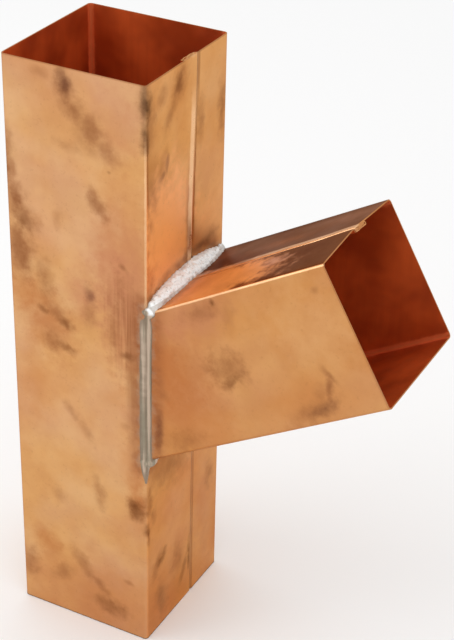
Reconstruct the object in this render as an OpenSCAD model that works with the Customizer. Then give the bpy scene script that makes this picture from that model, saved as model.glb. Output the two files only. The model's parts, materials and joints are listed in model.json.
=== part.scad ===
// Square downpipe branch in folded sheet. A straight length of square pipe stands upright, and a
// second square pipe rises from its front face to take in water from the side. Each pipe is one
// folded sheet, closed by a lock seam whose layers lie inside. A bead of solder joins them.
// The origin is on the upright pipe's axis at its lower end, and the branch points towards +X.

/* [Upright pipe] */
// Outside width of the square upright pipe
pipe_w = 76; // [64:1:150]
// Length of the upright pipe
pipe_h = 312; // [230:1:900]
// Distance of its seam line from the middle of the branch's face, towards +Y
pipe_seam = 8.6; // [-8:0.2:24]

/* [Branch] */
// Angle at which the branch rises from the horizontal
rise = 30; // [10:1:55]
// Length of the branch along its axis, from the upright pipe's face to its mouth
branch_len = 121.5; // [85:0.5:300]
// Height at which the branch's axis meets the upright pipe's face
branch_z = 156; // [100:1:220]
// How far each side of the branch is set in from the side of the upright pipe
branch_inset = 1.25; // [0.5:0.25:8]
// Distance of the branch's seam line from the middle of its upper face, towards +Y
branch_seam = -4; // [-20:0.5:14]
// How far the branch's upper face is bowed out along its seam line
branch_crown = 1.9; // [0:0.1:4]
// Width of the ledge that the cut-out leaves inside the foot of the branch
hole_ledge = 1; // [0:0.25:4]

/* [Sheet and lock seam] */
// Thickness of the sheet
sheet_t = 0.6; // [0.4:0.05:1.2]
// Inside radius of the corner folds
corner_r = 1.4; // [0.4:0.1:5]
// Width of the folded layers of a lock seam
seam_lap = 12; // [8:0.5:16]
// Clearance between the layers of a lock seam
seam_gap = 0.1; // [0.05:0.01:0.3]
// Angle at which the lower sheet steps down beside the seam line
step_turn = 60; // [45:5:80]
// Inside radius of the bend at the top of that step
step_r = 0.6; // [0.3:0.1:1.5]

/* [Solder] */
// Radius of the upper bead at its middle
bead_r = 7; // [5:0.1:10]
// Radius of the upper bead at its two ends
bead_end_r = 3.2; // [2.4:0.1:4.8]
// How far its ends stop short of the branch's sides
bead_end_in = 1; // [0.5:0.1:4]
// Pitch of the ripples along the upper bead
ripple_pitch = 4.2; // [3:0.1:7]
// Height of the ripples
ripple_h = 0.5; // [0:0.1:1]
// Radius of the side beads
side_r = 5; // [4:0.1:8]
// How far a side bead stands proud of the upright pipe's side
side_proud = 1; // [0.6:0.1:2]
// Distance of a side bead's middle from the face that the branch stands on
side_in = 1.5; // [0.5:0.25:4]
// Length over which each end of a side bead thins out
side_end = 4; // [2:0.5:8]
// Radius of the bead beneath the branch
under_r = 3.2; // [2:0.1:6]
// Radius of the run of solder that tapers away down the corner, below each side bead
run_r = 3.9; // [3.4:0.1:5]
// Distance of its middle from both faces at the corner
run_in = 2.6; // [2:0.1:3]
// Length of the run below the -Y side bead
run_near = 17; // [8:1:40]
// Length of the run below the +Y side bead
run_far = 9; // [8:1:40]

/* [Hidden] */
copper = [0.80, 0.56, 0.37];
solder = [0.74, 0.73, 0.70];

// Sizes that follow from the ones above
branch_w = pipe_w - 2 * branch_inset;
corner_out = corner_r + sheet_t;
half_t = sheet_t / 2;
foot_half = branch_w / 2 / cos(rise);
face_x = pipe_w / 2;
top_z = branch_z + foot_half;
bottom_z = branch_z - foot_half;

// Most degrees that one flat of a folded bend takes up, in corners and in the tighter folds
corner_step = 15;
fold_step = 20;
// Length by which a cutting shape runs past what it cuts
over = 1;
// Depth below the faces at which a thinning end of solder stops
sink = 0.3;
// Sides of a round bead, and rings along each ripple of the upper one
bead_sides = 24;
ripple_rings = 4;

// A pipe's section is drawn in the seam's own coordinates: x is measured from the seam line along
// the face, towards the side that the layers lie on, and y is the depth below the face.
// Depths of the middles of the layers, from the outer face inwards
skin_d = half_t;
curl_d = skin_d + sheet_t + seam_gap;
hook_d = curl_d + sheet_t + seam_gap;
// The hook folds round the edge of the curl, and the curl round the edge of the hook
fold_r = sheet_t + seam_gap;
hook_c = [fold_r + half_t, curl_d];
curl_c = [seam_lap - fold_r - half_t, hook_d];
// The step wraps round the outside of the hook and then climbs to the outer face
wrap_r = fold_r + sheet_t + seam_gap;
step_mid_r = step_r + half_t;
step_climb = (curl_d + wrap_r * cos(step_turn) - skin_d - step_mid_r * (1 - cos(step_turn)))
             / sin(step_turn);
step_u = hook_c.x - (wrap_r + step_mid_r) * sin(step_turn) - step_climb * cos(step_turn);
step_c = [step_u, skin_d + step_mid_r];

// Points of a bend about centre c, from turn a to turn b. A turn of 0 points out of the face and
// one of 90 along it.
function bend(c, r, a, b, step = fold_step) =
    let (n = ceil(abs(b - a) / step))
    [for (i = [0:n]) let (t = a + (b - a) * i / n) [c.x + r * sin(t), c.y - r * cos(t)]];

// The four corner folds of a pipe of width w, whose faces reach from u0 - w/2 to u0 + w/2
function corners(w, u0, r) =
    let (in = w / 2 - corner_out)
    concat(bend([u0 + in, corner_out], r, 0, 90, corner_step),
           bend([u0 + in, w - corner_out], r, 90, 180, corner_step),
           bend([u0 - in, w - corner_out], r, 180, 270, corner_step),
           bend([u0 - in, corner_out], r, 270, 360, corner_step));

// One surface of the folded sheet, a distance o outside its middle, from the edge of the hook
// round the pipe to the edge of the curl
function surface_line(w, u0, o) =
    concat([[curl_c.x - seam_gap, hook_d + o]],
           bend(hook_c, fold_r + o, 180, 360),
           corners(w, u0, corner_out - half_t + o),
           bend(step_c, step_mid_r + o, 0, step_turn),
           bend(hook_c, wrap_r - o, 180 + step_turn, 180),
           bend(curl_c, fold_r - o, 180, 0),
           [[hook_c.x + seam_gap, curl_d + o]]);

// The outer outline, straight across the crease of the seam
function outer_line(w, u0) =
    concat([[hook_c.x, 0]], corners(w, u0, corner_out), [[step_u, 0]]);

function turned(list) = [for (i = [len(list) - 1:-1:0]) list[i]];

// Places a point of the section on the +X face. The face is bowed out by crown along its seam,
// and falls off evenly to both corners.
function placed(p, w, seam, side, crown) =
    let (edge = w / 2 - side * seam * sign(p.x),
         bow = p.y < w / 2 ? crown * max(0, 1 - abs(p.x) / edge) : 0)
    [w / 2 - p.y + bow, seam + side * p.x];

// The folded sheet's section. The layers lie on the side of the seam line that side points to.
module sheet_section(w, seam, side, crown = 0) {
    u0 = -side * seam;
    line = concat(surface_line(w, u0, half_t), turned(surface_line(w, u0, -half_t)));
    polygon([for (p = line) placed(p, w, seam, side, crown)]);
}

// Everything inside the pipe's outer surface
module outer_section(w, seam, side, crown = 0) {
    polygon([for (p = outer_line(w, -side * seam)) placed(p, w, seam, side, crown)]);
}

// Carries a section drawn about the branch's axis to where the branch stands. Its upper face is
// on the section's +X side, and the shape runs from well inside the upright pipe to the mouth.
module along_branch(past = 0) {
    back = pipe_w + branch_w;
    translate([face_x, 0, branch_z])
        rotate([0, 90 - rise, 0])
            mirror([1, 0, 0])
                translate([0, 0, -back])
                    linear_extrude(back + branch_len + past)
                        children();
}

// The side of the upright pipe's face that the branch stands on
module beyond_face() {
    reach = 2 * (branch_len + branch_w);
    translate([face_x, -reach, branch_z - reach])
        cube(2 * reach);
}

module main_envelope() {
    translate([0, 0, -over])
        linear_extrude(pipe_h + 2 * over)
            outer_section(pipe_w, pipe_seam, -1);
}

module branch_envelope() {
    along_branch(over)
        outer_section(branch_w, branch_seam, 1, branch_crown);
}

// Way through for the water, a ledge smaller than the inside of the branch
module cut_out() {
    hole = branch_w - 2 * (sheet_t + hole_ledge);
    intersection() {
        along_branch()
            square(hole, center = true);
        translate([0, -hole, 0])
            cube([pipe_w, 2 * hole, pipe_h]);
    }
}

module main_pipe() {
    color(copper)
        difference() {
            linear_extrude(pipe_h)
                sheet_section(pipe_w, pipe_seam, -1);
            cut_out();
        }
}

module branch_pipe() {
    color(copper)
        intersection() {
            along_branch()
                sheet_section(branch_w, branch_seam, 1, branch_crown);
            beyond_face();
        }
}

// A solid through a row of rings that all have the same number of points
module through_rings(rings) {
    count = len(rings[0]);
    last = len(rings) - 1;
    polyhedron(
        points = [for (ring = rings) each ring],
        faces = concat(
            [[for (k = [0:count - 1]) k]],
            [for (i = [0:last - 1], k = [0:count - 1])
                let (a = i * count, b = a + count, next = (k + 1) % count)
                [a + k, b + k, b + next, a + next]],
            [[for (k = [count - 1:-1:0]) last * count + k]]
        )
    );
}

// Ring of a bead that runs along Y, about a point of the face that the branch stands on
function level_ring(y, z, r) =
    [for (k = [0:bead_sides - 1]) let (a = 360 * k / bead_sides) [face_x + r * sin(a), y, z + r * cos(a)]];

// Ring of a bead that runs up a corner, with its middle given as distances in from both faces
function upright_ring(z, in_x, in_y, r) =
    [for (k = [0:bead_sides - 1])
        let (a = 360 * k / bead_sides)
        [face_x - in_x + r * cos(a), in_y - pipe_w / 2 + r * sin(a), z]];

// The upper bead lies in the corner above the branch. It is rippled, and largest in the middle,
// where the branch's crown lifts it.
module upper_bead() {
    length = branch_w - 2 * bead_end_in;
    ripples = round(length / ripple_pitch);
    last = ripples * ripple_rings;
    through_rings([for (i = [0:last])
        let (t = i / last,
             swell = sin(180 * t),
             r = bead_end_r + (bead_r - bead_end_r) * swell - ripple_h / 2 * cos(360 * ripples * t))
        level_ring((t - 0.5) * length, top_z + branch_crown / cos(rise) * swell, r)]);
}

module under_bead() {
    y = branch_w / 2 - bead_end_in;
    through_rings([level_ring(-y, bottom_z, under_r), level_ring(y, bottom_z, under_r)]);
}

// A side bead covers the corner of the upright pipe beside the branch. It thins out at its top,
// and below the branch it becomes a run down the corner that ends level with the faces.
module side_bead(run) {
    in_y = side_r - side_proud;
    through_rings([
        upright_ring(bottom_z - run, run_in, run_in, run_in - sink),
        upright_ring(bottom_z - side_end, run_in, run_in, run_r),
        upright_ring(bottom_z, side_in, in_y, side_r),
        upright_ring(top_z, side_in, in_y, side_r),
        upright_ring(top_z + side_end, side_in, in_y, in_y - sink)
    ]);
}

module solder_joint() {
    color(solder)
        difference() {
            union() {
                upper_bead();
                under_bead();
                side_bead(run_near);
                mirror([0, 1, 0])
                    side_bead(run_far);
            }
            main_envelope();
            branch_envelope();
        }
}

main_pipe();
branch_pipe();
solder_joint();
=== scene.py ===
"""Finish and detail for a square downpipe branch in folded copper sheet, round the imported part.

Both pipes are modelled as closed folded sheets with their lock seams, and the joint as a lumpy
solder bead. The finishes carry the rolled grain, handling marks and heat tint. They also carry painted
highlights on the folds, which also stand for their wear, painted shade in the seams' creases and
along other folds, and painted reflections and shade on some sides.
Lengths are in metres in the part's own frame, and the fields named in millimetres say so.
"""

import json
import logging
import math
import random
from dataclasses import dataclass, field
from enum import Enum
from typing import Iterator, Sequence

import bmesh
import bpy
from mathutils import Matrix, Vector, noise


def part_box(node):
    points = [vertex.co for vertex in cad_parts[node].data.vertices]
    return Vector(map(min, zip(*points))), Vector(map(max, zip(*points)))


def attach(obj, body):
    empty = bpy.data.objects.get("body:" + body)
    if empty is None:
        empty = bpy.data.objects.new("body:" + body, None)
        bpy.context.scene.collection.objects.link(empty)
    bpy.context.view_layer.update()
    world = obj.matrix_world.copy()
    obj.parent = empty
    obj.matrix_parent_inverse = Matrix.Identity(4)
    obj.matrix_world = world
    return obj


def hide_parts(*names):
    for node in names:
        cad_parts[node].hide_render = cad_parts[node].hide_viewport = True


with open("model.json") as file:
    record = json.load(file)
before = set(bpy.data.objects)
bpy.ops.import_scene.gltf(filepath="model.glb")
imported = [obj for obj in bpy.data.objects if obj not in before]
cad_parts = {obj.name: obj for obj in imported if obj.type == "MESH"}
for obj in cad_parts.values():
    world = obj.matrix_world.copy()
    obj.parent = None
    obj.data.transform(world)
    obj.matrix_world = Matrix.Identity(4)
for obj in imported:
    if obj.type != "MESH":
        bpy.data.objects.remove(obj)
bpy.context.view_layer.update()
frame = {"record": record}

MM = 0.001
LOG = logging.getLogger("downpipe_branch")
Socket = bpy.types.NodeSocket
Color = tuple[float, float, float, float]


def rgb(red: float, green: float, blue: float) -> Color:
    """Turns a colour given as 0 to 255 display values into linear light.

    Args:
        red: Red, from 0 to 255.
        green: Green, from 0 to 255.
        blue: Blue, from 0 to 255.

    Returns:
        The linear colour with full opacity.
    """
    return tuple(((v / 255 + 0.055) / 1.055) ** 2.4 for v in (red, green, blue)) + (1.0,)


def ease(value: float) -> float:
    """Returns a smooth step of a value that is first held between 0 and 1."""
    held = min(1.0, max(0.0, value))
    return held * held * (3 - 2 * held)


class Tone(Enum):
    """Colours that handling, heat and flux leave on copper, with the painted highlight of the folds and two painted
    reflections.
    """

    TAN = rgb(222, 172, 122)
    ROSE = rgb(198, 132, 96)
    AMBER = rgb(204, 138, 82)
    REFLECTED_ORANGE = rgb(255, 172, 98)
    REFLECTED_HONEY = rgb(244, 158, 82)
    RUST = rgb(186, 112, 62)
    BROWN = rgb(156, 100, 62)
    UMBER = rgb(122, 72, 40)
    PLUM = rgb(104, 62, 48)
    OLIVE = rgb(128, 88, 60)
    SOOT = rgb(82, 50, 32)
    PALE_HIGHLIGHT = rgb(255, 208, 160)
    FROST = rgb(206, 150, 120)


class Wear(Enum):
    """How a mark breaks up: in clouds, in brush strokes, or hardly at all."""

    CLOUDED = "Patch"
    BRUSHED = "Brush"
    EVEN = "Cloud"


@dataclass(frozen=True)
class Mark:
    """One soft mark on a flat side of a pipe, placed on it in millimetres.

    The turn is in degrees from the side's across direction to the mark's long direction. Matt is
    the share of the sheet's mirror that the mark takes away.
    """

    tone: Tone
    x_mm: float
    y_mm: float
    long_mm: float
    wide_mm: float
    turn: float = 90.0
    strength: float = 0.5
    wear: Wear = Wear.CLOUDED
    soft: float = 1.0
    ragged: float = 0.9
    hollow: float = 0.0
    broken: float = 0.3
    matt: float = 0.0


@dataclass(frozen=True)
class Side:
    """A flat side of a pipe: a point on it, its two directions, its ground colour and its marks. The ground
    is the side's colour as it is seen, so it holds that side's painted shading and reflection.

    The zones are broad marks that stay on this side. The marks may reach round its folds. Both fade
    out somewhat beyond their sizes.
    """

    FADE = 1.3

    origin: Vector
    across: Vector
    up: Vector
    ground: Color
    zones: tuple[Mark, ...]
    marks: tuple[Mark, ...]

    def spread(self, mark: Mark) -> tuple[Vector, Vector, Vector]:
        """Works out where a mark lies.

        Args:
            mark: The mark to place on this side.

        Returns:
            Its middle, and its long and wide directions, each divided by how far it reaches.
        """
        turn = math.radians(mark.turn)
        along = self.across * math.cos(turn) + self.up * math.sin(turn)
        over = self.up * math.cos(turn) - self.across * math.sin(turn)
        middle = self.origin + (self.across * mark.x_mm + self.up * mark.y_mm) * MM
        return middle, along / (self.FADE * mark.long_mm * MM), over / (self.FADE * mark.wide_mm * MM)

    def facing(self) -> Vector:
        """Returns the direction square to this side."""
        return self.across.cross(self.up)


class Net:
    """Adds nodes to one node tree and links them."""

    def __init__(self, tree: bpy.types.NodeTree) -> None:
        """Keeps the tree that the nodes go into."""
        self.tree = tree

    def node(self, kind: str, **settings: object) -> bpy.types.Node:
        """Adds a node.

        Args:
            kind: Blender's name for the kind of node.
            **settings: Properties to set on it.

        Returns:
            The new node.
        """
        made = self.tree.nodes.new(kind)
        for name, value in settings.items():
            setattr(made, name, value)
        return made

    def feed(self, socket: Socket, value: object) -> None:
        """Links a socket to another, or sets the number that it holds.

        Args:
            socket: The socket to fill.
            value: The socket or the number that it takes.
        """
        if isinstance(value, bpy.types.NodeSocket):
            self.tree.links.new(value, socket)
        else:
            socket.default_value = value

    def math(self, operation: str, *values: object, clamp: bool = False) -> Socket:
        """Adds a math node.

        Args:
            operation: Name of the operation.
            *values: Sockets or numbers that it works on.
            clamp: Whether the result is held between 0 and 1.

        Returns:
            The result's socket.
        """
        made = self.node("ShaderNodeMath", operation=operation, use_clamp=clamp)
        for socket, value in zip(made.inputs, values):
            self.feed(socket, value)
        return made.outputs[0]

    def vector(self, operation: str, *values: object) -> Socket:
        """Adds a vector math node.

        Args:
            operation: Name of the operation.
            *values: Sockets or vectors that it works on.

        Returns:
            The result's socket, which is a number for a dot product or a length.
        """
        made = self.node("ShaderNodeVectorMath", operation=operation)
        for socket, value in zip(made.inputs, values):
            self.feed(socket, value)
        plain = operation in ("DOT_PRODUCT", "LENGTH", "DISTANCE")
        return made.outputs["Value" if plain else "Vector"]

    def ramp(self, value: object, start: object, end: object, low: object = 0.0, high: object = 1.0) -> Socket:
        """Adds a smooth change from one number to another.

        Args:
            value: Number that drives the change.
            start: Value at which it starts.
            end: Value at which it ends.
            low: Result before the start.
            high: Result after the end.

        Returns:
            The result's socket.
        """
        made = self.node("ShaderNodeMapRange", interpolation_type="SMOOTHSTEP")
        for socket, given in zip(made.inputs, (value, start, end, low, high)):
            self.feed(socket, given)
        return made.outputs[0]

    def noise(self, point: object, scale: float, detail: float = 3.0, roughness: float = 0.5) -> bpy.types.Node:
        """Adds a noise texture.

        Args:
            point: Where the noise is read.
            scale: Number of its features to a metre.
            detail: Number of finer layers.
            roughness: Share that each finer layer adds.

        Returns:
            The node.
        """
        made = self.node("ShaderNodeTexNoise")
        for name, value in (("Vector", point), ("Scale", scale), ("Detail", detail), ("Roughness", roughness)):
            self.feed(made.inputs[name], value)
        return made

    def cloud(self, point: object, scale: float, detail: float = 3.0, roughness: float = 0.5) -> Socket:
        """Returns a noise about 0.5, with the arguments of the noise texture."""
        return self.noise(point, scale, detail, roughness).outputs[0]

    def warp(self, point: object, scale: float, reach: float) -> Socket:
        """Pushes a point about with noise, so that what is drawn there has uneven outlines.

        Args:
            point: The point to push.
            scale: Number of the noise's features to a metre.
            reach: About how far it is pushed at most.

        Returns:
            The pushed point.
        """
        push = self.vector("SUBTRACT", self.noise(point, scale, 2.0).outputs["Color"], (0.5, 0.5, 0.5))
        return self.vector("MULTIPLY_ADD", push, (reach * 4,) * 3, point)

    def drawn(self, point: object, axis: object, share: object) -> Socket:
        """Squeezes a point along an axis, so that noise read there is drawn out along it.

        Args:
            point: The point to squeeze.
            axis: Direction of the axis, of unit length.
            share: How much of the way along the axis is taken away.

        Returns:
            The squeezed point.
        """
        way = self.math("MULTIPLY", self.vector("DOT_PRODUCT", point, axis), share)
        off = self.node("ShaderNodeVectorMath", operation="SCALE")
        self.feed(off.inputs[0], axis)
        self.feed(off.inputs["Scale"], way)
        return self.vector("SUBTRACT", point, off.outputs[0])

    def tint(self, factor: object, low: object, high: object, mode: str = "MIX") -> Socket:
        """Adds a colour mix.

        Args:
            factor: Share of the second colour.
            low: First colour.
            high: Second colour.
            mode: How they are mixed.

        Returns:
            The mixed colour.
        """
        made = self.node("ShaderNodeMix", data_type="RGBA", blend_type=mode)
        self.feed(made.inputs[0], factor)
        self.feed(made.inputs[6], low)
        self.feed(made.inputs[7], high)
        return made.outputs[2]

    def share(self, mask: Socket, amount: float) -> Socket:
        """Returns a mask times an amount."""
        return self.math("MULTIPLY", mask, amount)

    def read(self, name: str) -> Socket:
        """Returns a number that the mesh holds at each of its points."""
        return self.node("ShaderNodeAttribute", attribute_name=name).outputs["Fac"]

    def place(self, output: str = "Object") -> Socket:
        """Returns the point of the surface, or its normal, in the part's own frame."""
        return self.node("ShaderNodeTexCoord").outputs[output]


class Workshop:
    """The node groups that several finishes share, each made once."""

    KINDS = {"f": "NodeSocketFloat", "v": "NodeSocketVector", "c": "NodeSocketColor"}

    def __init__(self) -> None:
        """Makes every group."""
        self.smudge = self._smudge()
        self.mottle = self._mottle()
        self.fold_light_wear = self._fold_light_wear()
        self.joint_heat = self._joint_heat()
        self.relief = self._relief()

    def _open(self, name: str, inputs: dict[str, str], outputs: dict[str, str]) -> tuple:
        """Starts a group.

        Args:
            name: The group's name.
            inputs: Kind of each input, by its name.
            outputs: Kind of each output, by its name.

        Returns:
            The group's tree, its net, its inputs and the sockets of its outputs.
        """
        tree = bpy.data.node_groups.new(name, "ShaderNodeTree")
        for label, kind in inputs.items():
            tree.interface.new_socket(name=label, in_out="INPUT", socket_type=self.KINDS[kind])
        for label, kind in outputs.items():
            tree.interface.new_socket(name=label, in_out="OUTPUT", socket_type=self.KINDS[kind])
        net = Net(tree)
        return tree, net, net.node("NodeGroupInput").outputs, net.node("NodeGroupOutput").inputs

    def _smudge(self) -> bpy.types.NodeTree:
        """Returns a group that masks one oval mark with a ragged soft edge."""
        tree, net, given, out = self._open(
            "smudge",
            {"Point": "v", "Middle": "v", "Along": "v", "Over": "v", "Through": "v", "Softness": "f",
             "Ragged": "f", "Noise": "f", "Hollow": "f", "Patch": "f", "Broken": "f", "Strength": "f"},
            {"Mask": "f"},
        )
        away = net.vector("SUBTRACT", given["Point"], given["Middle"])
        shares = [net.vector("DOT_PRODUCT", away, given[name]) for name in ("Along", "Over", "Through")]
        parts = net.node("ShaderNodeCombineXYZ")
        for socket, share in zip(parts.inputs, shares):
            net.feed(socket, share)
        reach = net.vector("LENGTH", parts.outputs[0])
        torn = net.math("MULTIPLY_ADD", given["Noise"], given["Ragged"], reach)
        inner = net.math("SUBTRACT", 1.0, given["Softness"])
        body = net.ramp(torn, inner, 1.0, 1.0, 0.0)
        centre = net.ramp(torn, 0.15, 0.75, net.math("SUBTRACT", 1.0, given["Hollow"]), 1.0)
        kept = net.math("SUBTRACT", 1.0, net.math("MULTIPLY", given["Patch"], given["Broken"]))
        full = net.math("MULTIPLY", net.math("MULTIPLY", body, centre), kept)
        net.feed(out["Mask"], net.math("MULTIPLY", full, given["Strength"]))
        return tree

    def _mottle(self) -> bpy.types.NodeTree:
        """Returns a group of noises at the scales of tarnish, fingerprints, specks and rolling."""
        tree, net, given, out = self._open(
            "mottle",
            {"Point": "v", "Grain axis": "v"},
            {n: "f" for n in ("Broad", "Drift", "Cloud", "Patch", "Brush", "Torn", "Speck", "Grain")},
        )
        point = given["Point"]
        apart = net.vector("ADD", point, (0.31, 0.17, 0.43))
        net.feed(out["Broad"], net.ramp(net.cloud(point, 15.0, 3.0, 0.55), 0.36, 0.66))
        net.feed(out["Drift"], net.ramp(net.cloud(apart, 26.0, 3.0, 0.55), 0.36, 0.66))
        net.feed(out["Cloud"], net.ramp(net.cloud(point, 62.0, 4.0, 0.6), 0.32, 0.70))
        net.feed(out["Patch"], net.ramp(net.cloud(apart, 150.0, 4.0, 0.6), 0.36, 0.62))
        net.feed(out["Torn"], net.math("SUBTRACT", net.cloud(point, 190.0, 4.0, 0.6), 0.5))
        net.feed(out["Speck"], net.ramp(net.cloud(point, 620.0, 2.0), 0.60, 0.76))
        brushed = net.drawn(point, given["Grain axis"], 0.965)
        net.feed(out["Brush"], net.ramp(net.cloud(brushed, 420.0, 3.0), 0.38, 0.64))
        net.feed(out["Grain"], net.cloud(brushed, 1500.0, 2.0))
        return tree

    def _fold_light_wear(self) -> bpy.types.NodeTree:
        """Returns a group that masks a fold's painted highlight, which also stands for rubbed edges, and its painted
        shade.
        """
        tree, net, given, out = self._open(
            "fold_light_wear", {"Crown": "f", "Noise": "f", "Patch": "f", "Width": "f", "Amount": "f"},
            {"Bright": "f", "Shade": "f"},
        )
        torn = net.math("MULTIPLY_ADD", given["Noise"], 0.5, given["Crown"])
        start = net.math("SUBTRACT", 1.0, given["Width"])
        mask = net.ramp(torn, start, net.math("MULTIPLY_ADD", given["Width"], 0.5, start))
        broken = net.math("MULTIPLY_ADD", given["Patch"], -0.3, 1.0)
        full = net.math("MULTIPLY", mask, broken)
        net.feed(out["Bright"], net.math("MULTIPLY", full, given["Amount"], clamp=True))
        turned = net.math("MULTIPLY", given["Amount"], -1.0)
        net.feed(out["Shade"], net.math("MULTIPLY", mask, turned, clamp=True))
        return tree

    def _joint_heat(self) -> bpy.types.NodeTree:
        """Returns a group that masks the tin film and the heat tint beside the solder."""
        tree, net, given, out = self._open(
            "joint_heat", {"Nearness": "f", "Noise": "f", "Patch": "f"}, {"Film": "f", "Scorch": "f"}
        )
        torn = net.math("MULTIPLY_ADD", given["Noise"], 0.22, given["Nearness"])
        net.feed(out["Film"], net.ramp(torn, 0.95, 1.03))
        rise = net.math("MULTIPLY", net.ramp(torn, 0.74, 0.97), net.math("MULTIPLY_ADD", given["Patch"], -0.45, 1.0))
        net.feed(out["Scorch"], rise)
        return tree

    def _relief(self) -> bpy.types.NodeTree:
        """Returns a group that gives the height of slight dents, brushed grain and pits."""
        tree, net, given, out = self._open(
            "relief", {"Point": "v", "Grain": "f", "Dents": "f", "Grain depth": "f"}, {"Height": "f"}
        )
        dents = net.cloud(given["Point"], 34.0, 2.0)
        deep = net.math("MULTIPLY", dents, given["Dents"])
        net.feed(out["Height"], net.math("MULTIPLY_ADD", given["Grain"], given["Grain depth"], deep))
        return tree

    def place(self, net: Net, group: bpy.types.NodeTree, **values: object) -> bpy.types.NodeOutputs:
        """Puts a group into a material.

        Args:
            net: Net of the material.
            group: The group to place.
            **values: Its inputs by name, with _ for a space.

        Returns:
            The group's outputs.
        """
        made = net.node("ShaderNodeGroup", node_tree=group)
        for name, value in values.items():
            net.feed(made.inputs[name.replace("_", " ")], value)
        return made.outputs


def blank(name: str) -> tuple[bpy.types.Material, Net, bpy.types.Node]:
    """Starts a material.

    Args:
        name: Its name.

    Returns:
        The material, the net of its nodes and its shader.
    """
    material = bpy.data.materials.new(name)
    material.use_nodes = True
    return material, Net(material.node_tree), material.node_tree.nodes["Principled BSDF"]


def bump(net: Net, shader: bpy.types.Node, height: Socket, strength: float, distance_mm: float) -> None:
    """Gives a shader a bumpy surface.

    Args:
        net: Net of the material.
        shader: The shader that takes the bumps.
        height: Their height.
        strength: How strongly they show.
        distance_mm: Height in millimetres that 1 stands for.
    """
    made = net.node("ShaderNodeBump")
    made.inputs["Strength"].default_value = strength
    made.inputs["Distance"].default_value = distance_mm * MM
    net.feed(made.inputs["Height"], height)
    net.feed(shader.inputs["Normal"], made.outputs[0])


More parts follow.
